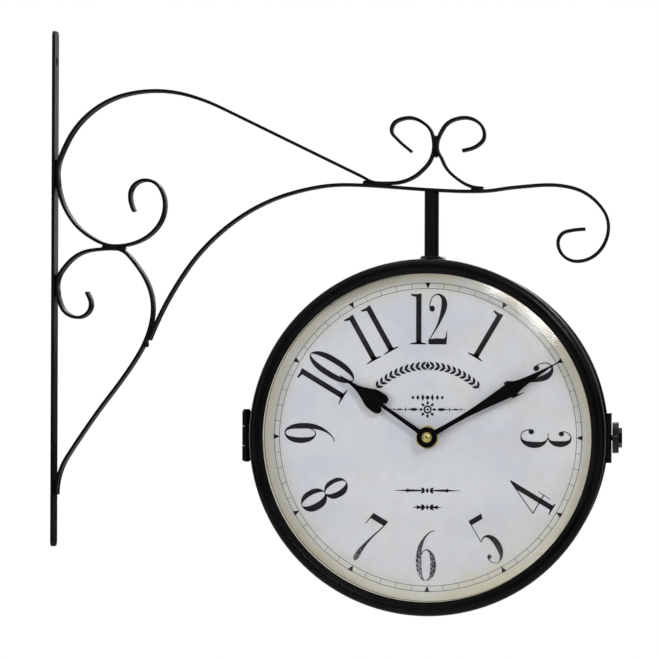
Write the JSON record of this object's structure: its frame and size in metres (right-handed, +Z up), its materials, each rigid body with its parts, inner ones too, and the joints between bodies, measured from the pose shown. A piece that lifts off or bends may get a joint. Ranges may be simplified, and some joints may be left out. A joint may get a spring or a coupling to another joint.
{
  "type": "double sided wall bracket clock",
  "caption": "Round drum clock with a dial on each side, hung by a short stem from a scrolled strip-iron wall bracket; the front half swings open on a side hinge.",
  "frame": {"origin": "back face of the wall bar, midway between its two screw holes", "axes": "+Z up, +X out from the wall along the arm, the front dial faces -Y"},
  "size_m": [0.3754, 0.0932, 0.381],
  "materials": {
    "bracket_paint": "satin black enamel over bent steel strip, slightly orange-peeled, rubbed thin on a few edges",
    "drum_paint": "satin black enamel on spun steel",
    "bright_steel": "bare zinc-plated steel",
    "nickel": "dark nickel plate, knurled",
    "glass": "clear domed glass",
    "cream_plastic": "pale matt plastic",
    "printed_dial": "aged printed paper on card",
    "zinc_steel": "zinc-plated sheet",
    "black_plastic": "fine spark-eroded moulded plastic",
    "brass": "polished brass, slightly tarnished",
    "copper_winding": "enamelled copper winding",
    "white_plastic": "natural acetal",
    "board_green": "solder-masked board",
    "battery_sleeve": "plain printed sleeve",
    "hand_black": "matt black stamped steel"
  },
  "bodies": {
    "wall_side": {"wall_bar": "bracket_paint", "arch_scroll": "bracket_paint", "lower_scroll": "bracket_paint", "support_arm": "bracket_paint", "crest_scroll": "bracket_paint", "weld_beads": "bracket_paint", "hanger_stem": "bracket_paint", "stem_collar": "bracket_paint", "collar_screw": "bright_steel", "stem_nut": "bright_steel", "case_shell": "drum_paint", "rear_bezel": "drum_paint", "shell_hinge_leaf": "drum_paint", "hinge_pin": "bright_steel", "shell_rivets": "bright_steel", "latch_stud": "bright_steel", "rear_glass": "glass", "rear_spacer_ring": "cream_plastic", "rear_dial": "printed_dial", "rear_retaining_ring": "zinc_steel", "rear_bezel_screws": "drum_paint", "rear_movement_case": "black_plastic", "rear_movement_cover": "black_plastic", "rear_bush_nut": "brass", "rear_battery": "battery_sleeve", "rear_battery_contacts": "zinc_steel", "rear_motor_coil": "copper_winding", "rear_circuit_board": "board_green"},
    "front_half": {"front_bezel": "drum_paint", "door_band": "drum_paint", "door_hinge_leaf": "drum_paint", "door_rivets": "bright_steel", "latch_hasp": "drum_paint", "front_glass": "glass", "front_spacer_ring": "cream_plastic", "front_dial": "printed_dial", "front_retaining_ring": "zinc_steel", "front_bezel_screws": "drum_paint", "front_movement_case": "black_plastic", "front_movement_cover": "black_plastic", "front_bush_nut": "brass", "front_battery": "battery_sleeve", "front_battery_contacts": "zinc_steel", "front_motor_coil": "copper_winding", "front_circuit_board": "board_green"},
    "latch_nut": {"latch_nut": "nickel"},
    "front_minute": {"front_minute_arbor": "brass", "front_minute_hand": "hand_black", "front_hand_cap": "brass"},
    "front_hour": {"front_hour_wheel": "white_plastic", "front_hour_hand": "hand_black"},
    "front_transfer": {"front_transfer_wheel": "white_plastic"},
    "front_setting": {"front_setting_knob": "black_plastic"},
    "rear_minute": {"rear_minute_arbor": "brass", "rear_minute_hand": "hand_black", "rear_hand_cap": "brass"},
    "rear_hour": {"rear_hour_wheel": "white_plastic", "rear_hour_hand": "hand_black"},
    "rear_transfer": {"rear_transfer_wheel": "white_plastic"},
    "rear_setting": {"rear_setting_knob": "black_plastic"}
  },
  "joints": [
    {"name": "door_swing", "type": "hinge", "parent": "wall_side", "child": "front_half", "pos_m": [0.1316, -0.02, -0.096], "axis": [0, 0, -1], "range_deg": [0, 110]},
    {"name": "latch_nut_turn", "type": "hinge", "parent": "wall_side", "child": "latch_nut", "pos_m": [0.369, -0.017, -0.096], "axis": [1, 0, 0], "range_deg": [0, 720]},
    {"name": "front_minute_turn", "type": "hinge", "parent": "front_half", "child": "front_minute", "pos_m": [0.2505, -0.03, -0.096], "axis": [0, 1, 0], "continuous": true},
    {"name": "front_hour_turn", "type": "hinge", "parent": "front_half", "child": "front_hour", "pos_m": [0.2505, -0.03, -0.096], "axis": [0, 1, 0], "continuous": true},
    {"name": "front_transfer_turn", "type": "hinge", "parent": "front_half", "child": "front_transfer", "pos_m": [0.24202, -0.03, -0.08751], "axis": [0, 1, 0], "continuous": true},
    {"name": "front_setting_turn", "type": "hinge", "parent": "front_half", "child": "front_setting", "pos_m": [0.23001, -0.03, -0.08751], "axis": [0, 1, 0], "continuous": true},
    {"name": "rear_minute_turn", "type": "hinge", "parent": "wall_side", "child": "rear_minute", "pos_m": [0.2505, 0.03, -0.096], "axis": [0, -1, 0], "continuous": true},
    {"name": "rear_hour_turn", "type": "hinge", "parent": "wall_side", "child": "rear_hour", "pos_m": [0.2505, 0.03, -0.096], "axis": [0, -1, 0], "continuous": true},
    {"name": "rear_transfer_turn", "type": "hinge", "parent": "wall_side", "child": "rear_transfer", "pos_m": [0.25899, 0.03, -0.08751], "axis": [0, -1, 0], "continuous": true},
    {"name": "rear_setting_turn", "type": "hinge", "parent": "wall_side", "child": "rear_setting", "pos_m": [0.27098, 0.03, -0.08751], "axis": [0, -1, 0], "continuous": true}
  ],
  "couplings": [
    {"joint": "front_hour_turn", "follows": "front_minute_turn", "ratio": 0.083333},
    {"joint": "front_transfer_turn", "follows": "front_minute_turn", "ratio": -0.33333},
    {"joint": "front_setting_turn", "follows": "front_minute_turn", "ratio": 1},
    {"joint": "rear_hour_turn", "follows": "rear_minute_turn", "ratio": 0.083333},
    {"joint": "rear_transfer_turn", "follows": "rear_minute_turn", "ratio": -0.33333},
    {"joint": "rear_setting_turn", "follows": "rear_minute_turn", "ratio": 1}
  ]
}
